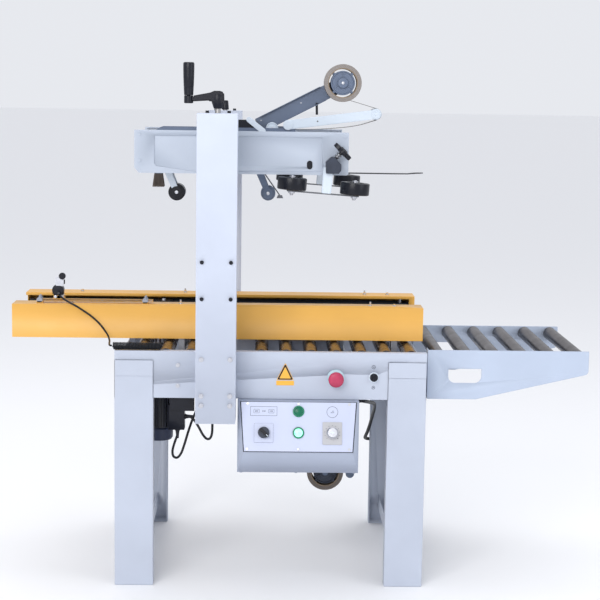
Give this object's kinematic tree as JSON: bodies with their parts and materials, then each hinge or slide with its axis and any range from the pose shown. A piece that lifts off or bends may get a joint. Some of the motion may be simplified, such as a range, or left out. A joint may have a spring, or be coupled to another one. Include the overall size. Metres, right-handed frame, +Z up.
{
  "type": "carton sealer machine",
  "caption": "Floor-standing side-belt carton sealer: roller bed on legs, yellow belt guards, two columns with a crank-lifted taping head, control box and roller extension.",
  "frame": {"origin": "centre of the machine's outline on the floor, under the middle of its bounding box", "axes": "+X towards the outfeed, -Y towards the operator, +Z up"},
  "size_m": [1.538, 0.808, 1.368],
  "materials": {
    "black_plastic": "moulded black plastic",
    "black_rubber": "black rubber",
    "box_paint": "textured powder coat, blue-grey",
    "cable": "black cable sheath",
    "dark_green": "green lens, unlit",
    "light_paint": "fine-textured powder coat, pale blue-grey",
    "lit_green": "translucent lit green lens",
    "motor_paint": "dark navy enamel",
    "pale_paint": "smooth powder coat, pale blue",
    "panel_paint": "satin white panel",
    "red_plastic": "glossy red",
    "slate_paint": "slate grey coat",
    "tape": "wound brown packing tape",
    "white_paint": "white coat",
    "yellow_paint": "powder coat, warm yellow",
    "zinc_steel": "galvanised and turned steel"
  },
  "bodies": {
    "root": {"leg_frames": "light_paint", "bed_sides": "light_paint", "cross_members": "zinc_steel", "columns": "light_paint", "frame_bolts": "zinc_steel", "extension_sides": "pale_paint", "electrical_boxes": "box_paint", "control_panel": "panel_paint", "motor_lead": "cable", "supply_lead": "cable", "conduit": "cable", "lower_tape_frame": "slate_paint", "sensor_coil": "cable"},
    "front_guard": {"guard_front": "yellow_paint", "belt_drive_front": "motor_paint", "sensor_lead": "cable"},
    "rear_guard": {"guard_rear": "yellow_paint", "belt_drive_rear": "motor_paint"},
    "front_pulley": {"pulley_front": "zinc_steel"},
    "rear_pulley": {"pulley_rear": "zinc_steel"},
    "switch_lever": {"switch_lever": "black_plastic"},
    "crank": {"crank": "zinc_steel"},
    "rear_screw": {"screw_rear": "zinc_steel"},
    "head": {"head_frame": "light_paint", "reel_arm": "slate_paint", "compression_bars": "zinc_steel"},
    "crank_grip": {"crank_grip": "black_plastic"},
    "upper_tape_roll": {"tape_roll_upper": "tape"},
    "tension_arm": {"tension_arm": "white_paint"},
    "front_tape_arm": {"front_tape_arm": "black_rubber"},
    "rear_tape_arm": {"rear_tape_arm": "zinc_steel"},
    "press_roller_front_in": {"press_roller_front_in": "black_rubber"},
    "press_roller_front_out": {"press_roller_front_out": "black_rubber"},
    "press_roller_rear_in": {"press_roller_rear_in": "black_rubber"},
    "press_roller_rear_out": {"press_roller_rear_out": "black_rubber"},
    "clamp_knob": {"clamp_knob": "black_plastic"},
    "lower_tape_arm": {"lower_tape_arm": "zinc_steel"},
    "lower_tape_roll": {"tape_roll_lower": "tape"},
    "estop_button": {"estop_button": "red_plastic"},
    "start_button": {"start_button": "lit_green"},
    "stop_button": {"stop_button": "dark_green"},
    "mode_knob": {"mode_knob": "black_plastic"},
    "dial_knob": {"dial_knob": "zinc_steel"},
    "selector_switch": {"selector_switch": "black_plastic"},
    "bed_roller_1": {"bed_roller_1": "zinc_steel"},
    "bed_roller_2": {"bed_roller_2": "zinc_steel"},
    "bed_roller_3": {"bed_roller_3": "zinc_steel"},
    "bed_roller_4": {"bed_roller_4": "zinc_steel"},
    "bed_roller_5": {"bed_roller_5": "zinc_steel"},
    "bed_roller_6": {"bed_roller_6": "zinc_steel"},
    "bed_roller_7": {"bed_roller_7": "zinc_steel"},
    "bed_roller_8": {"bed_roller_8": "zinc_steel"},
    "bed_roller_9": {"bed_roller_9": "zinc_steel"},
    "bed_roller_10": {"bed_roller_10": "zinc_steel"},
    "ext_roller_1": {"ext_roller_1": "zinc_steel"},
    "ext_roller_2": {"ext_roller_2": "zinc_steel"},
    "ext_roller_3": {"ext_roller_3": "zinc_steel"},
    "ext_roller_4": {"ext_roller_4": "zinc_steel"},
    "ext_roller_5": {"ext_roller_5": "zinc_steel"},
    "ext_roller_6": {"ext_roller_6": "zinc_steel"}
  },
  "joints": [
    {"name": "front_guard_slide", "type": "slide", "parent": "root", "child": "front_guard", "axis": [0, -1, 0], "range_m": [-0.011, 0.138]},
    {"name": "rear_guard_slide", "type": "slide", "parent": "root", "child": "rear_guard", "axis": [0, 1, 0], "range_m": [-0.011, 0.138]},
    {"name": "front_pulley_spin", "type": "hinge", "parent": "front_guard", "child": "front_pulley", "pos_m": [-0.73, -0.114, 0.68], "axis": [0, 0, 1], "continuous": true},
    {"name": "rear_pulley_spin", "type": "hinge", "parent": "rear_guard", "child": "rear_pulley", "pos_m": [-0.73, 0.114, 0.68], "axis": [0, 0, 1], "continuous": true},
    {"name": "switch_lever_swing", "type": "hinge", "parent": "front_guard", "child": "switch_lever", "pos_m": [-0.647, -0.1215, 0.77], "axis": [0, 0, 1], "range_deg": [-35, 0], "stiffness_Nm_per_rad": 0.2, "springref_deg": 11.46},
    {"name": "crank_spin", "type": "hinge", "parent": "root", "child": "crank", "pos_m": [-0.218, -0.36, 1.259], "axis": [0, 0, 1], "range_deg": [-10080, 720]},
    {"name": "rear_screw_spin", "type": "hinge", "parent": "root", "child": "rear_screw", "pos_m": [-0.218, 0.36, 1.235], "axis": [0, 0, 1], "range_deg": [-10080, 720]},
    {"name": "head_lift", "type": "slide", "parent": "root", "child": "head", "axis": [0, 0, 1], "range_m": [-0.28, 0.02]},
    {"name": "crank_grip_spin", "type": "hinge", "parent": "crank", "child": "crank_grip", "pos_m": [-0.291, -0.36, 1.29], "axis": [0, 0, 1], "continuous": true},
    {"name": "upper_roll_spin", "type": "hinge", "parent": "head", "child": "upper_tape_roll", "pos_m": [0.111, 0, 1.317], "axis": [0, 1, 0], "continuous": true},
    {"name": "tension_arm_swing", "type": "hinge", "parent": "head", "child": "tension_arm", "pos_m": [-0.037, -0.04, 1.202], "axis": [0, 1, 0], "range_deg": [-10, 5], "stiffness_Nm_per_rad": 60},
    {"name": "front_tape_arm_swing", "type": "hinge", "parent": "head", "child": "front_tape_arm", "pos_m": [-0.377, 0, 1.105], "axis": [0, 1, 0], "range_deg": [-58, 0], "stiffness_Nm_per_rad": 2, "springref_deg": 34.38},
    {"name": "rear_tape_arm_swing", "type": "hinge", "parent": "head", "child": "rear_tape_arm", "pos_m": [-0.127, 0, 1.105], "axis": [0, 1, 0], "range_deg": [-58, 0]},
    {"name": "press_roller_front_in_spin", "type": "hinge", "parent": "head", "child": "press_roller_front_in", "pos_m": [-0.0268, -0.205, 1.05276], "axis": [0.0698, 0, 0.9976], "continuous": true},
    {"name": "press_roller_front_out_spin", "type": "hinge", "parent": "head", "child": "press_roller_front_out", "pos_m": [0.1378, -0.205, 1.04124], "axis": [0.0698, 0, 0.9976], "continuous": true},
    {"name": "press_roller_rear_in_spin", "type": "hinge", "parent": "head", "child": "press_roller_rear_in", "pos_m": [-0.0268, 0.205, 1.05276], "axis": [0.0698, 0, 0.9976], "continuous": true},
    {"name": "press_roller_rear_out_spin", "type": "hinge", "parent": "head", "child": "press_roller_rear_out", "pos_m": [0.1378, 0.205, 1.04124], "axis": [0.0698, 0, 0.9976], "continuous": true},
    {"name": "clamp_knob_turn", "type": "hinge", "parent": "head", "child": "clamp_knob", "pos_m": [0.08, -0.22, 1.115], "axis": [0.7071, 0, 0.7071], "range_deg": [-170, 170]},
    {"name": "lower_arm_swing", "type": "hinge", "parent": "root", "child": "lower_tape_arm", "pos_m": [-0.197, 0, 0.572], "axis": [0, 1, 0], "range_deg": [0, 50], "stiffness_Nm_per_rad": 2, "springref_deg": -34.38},
    {"name": "lower_roll_spin", "type": "hinge", "parent": "root", "child": "lower_tape_roll", "pos_m": [0.08, 0, 0.234], "axis": [0, 1, 0], "continuous": true},
    {"name": "estop_press", "type": "slide", "parent": "root", "child": "estop_button", "axis": [0, 1, 0], "range_m": [0, 0.006], "stiffness_N_per_m": 600},
    {"name": "start_press", "type": "slide", "parent": "root", "child": "start_button", "axis": [0, 0.9613, -0.2756], "range_m": [0, 0.004], "stiffness_N_per_m": 400},
    {"name": "stop_press", "type": "slide", "parent": "root", "child": "stop_button", "axis": [0, 0.9613, -0.2756], "range_m": [0, 0.004], "stiffness_N_per_m": 400},
    {"name": "mode_turn", "type": "hinge", "parent": "root", "child": "mode_knob", "pos_m": [-0.094, -0.37305, 0.4231], "axis": [0, -0.9613, 0.2756], "range_deg": [0, 90]},
    {"name": "dial_turn", "type": "hinge", "parent": "root", "child": "dial_knob", "pos_m": [0.082, -0.37305, 0.4231], "axis": [0, -0.9613, 0.2756], "range_deg": [-135, 135]},
    {"name": "selector_turn", "type": "hinge", "parent": "root", "child": "selector_switch", "pos_m": [0.19, -0.32, 0.56], "axis": [0, -1, 0], "range_deg": [-45, 45]},
    {"name": "bed_roller_1_spin", "type": "hinge", "parent": "root", "child": "bed_roller_1", "pos_m": [-0.415, 0, 0.609], "axis": [0, 1, 0], "continuous": true},
    {"name": "bed_roller_2_spin", "type": "hinge", "parent": "root", "child": "bed_roller_2", "pos_m": [-0.35, 0, 0.609], "axis": [0, 1, 0], "continuous": true},
    {"name": "bed_roller_3_spin", "type": "hinge", "parent": "root", "child": "bed_roller_3", "pos_m": [-0.285, 0, 0.609], "axis": [0, 1, 0], "continuous": true},
    {"name": "bed_roller_4_spin", "type": "hinge", "parent": "root", "child": "bed_roller_4", "pos_m": [-0.102, 0, 0.609], "axis": [0, 1, 0], "continuous": true},
    {"name": "bed_roller_5_spin", "type": "hinge", "parent": "root", "child": "bed_roller_5", "pos_m": [-0.037, 0, 0.609], "axis": [0, 1, 0], "continuous": true},
    {"name": "bed_roller_6_spin", "type": "hinge", "parent": "root", "child": "bed_roller_6", "pos_m": [0.028, 0, 0.609], "axis": [0, 1, 0], "continuous": true},
    {"name": "bed_roller_7_spin", "type": "hinge", "parent": "root", "child": "bed_roller_7", "pos_m": [0.093, 0, 0.609], "axis": [0, 1, 0], "continuous": true},
    {"name": "bed_roller_8_spin", "type": "hinge", "parent": "root", "child": "bed_roller_8", "pos_m": [0.158, 0, 0.609], "axis": [0, 1, 0], "continuous": true},
    {"name": "bed_roller_9_spin", "type": "hinge", "parent": "root", "child": "bed_roller_9", "pos_m": [0.223, 0, 0.609], "axis": [0, 1, 0], "continuous": true},
    {"name": "bed_roller_10_spin", "type": "hinge", "parent": "root", "child": "bed_roller_10", "pos_m": [0.288, 0, 0.609], "axis": [0, 1, 0], "continuous": true},
    {"name": "ext_roller_1_spin", "type": "hinge", "parent": "root", "child": "ext_roller_1", "pos_m": [0.369, 0, 0.599], "axis": [0, 1, 0], "continuous": true},
    {"name": "ext_roller_2_spin", "type": "hinge", "parent": "root", "child": "ext_roller_2", "pos_m": [0.444, 0, 0.599], "axis": [0, 1, 0], "continuous": true},
    {"name": "ext_roller_3_spin", "type": "hinge", "parent": "root", "child": "ext_roller_3", "pos_m": [0.519, 0, 0.599], "axis": [0, 1, 0], "continuous": true},
    {"name": "ext_roller_4_spin", "type": "hinge", "parent": "root", "child": "ext_roller_4", "pos_m": [0.594, 0, 0.599], "axis": [0, 1, 0], "continuous": true},
    {"name": "ext_roller_5_spin", "type": "hinge", "parent": "root", "child": "ext_roller_5", "pos_m": [0.669, 0, 0.599], "axis": [0, 1, 0], "continuous": true},
    {"name": "ext_roller_6_spin", "type": "hinge", "parent": "root", "child": "ext_roller_6", "pos_m": [0.744, 0, 0.599], "axis": [0, 1, 0], "continuous": true}
  ],
  "couplings": [
    {"joint": "rear_guard_slide", "follows": "front_guard_slide", "ratio": 1},
    {"joint": "rear_screw_spin", "follows": "crank_spin", "ratio": 1},
    {"joint": "head_lift", "follows": "crank_spin", "m_per_rad": 0.0015915},
    {"joint": "rear_tape_arm_swing", "follows": "front_tape_arm_swing", "ratio": 1}
  ]
}
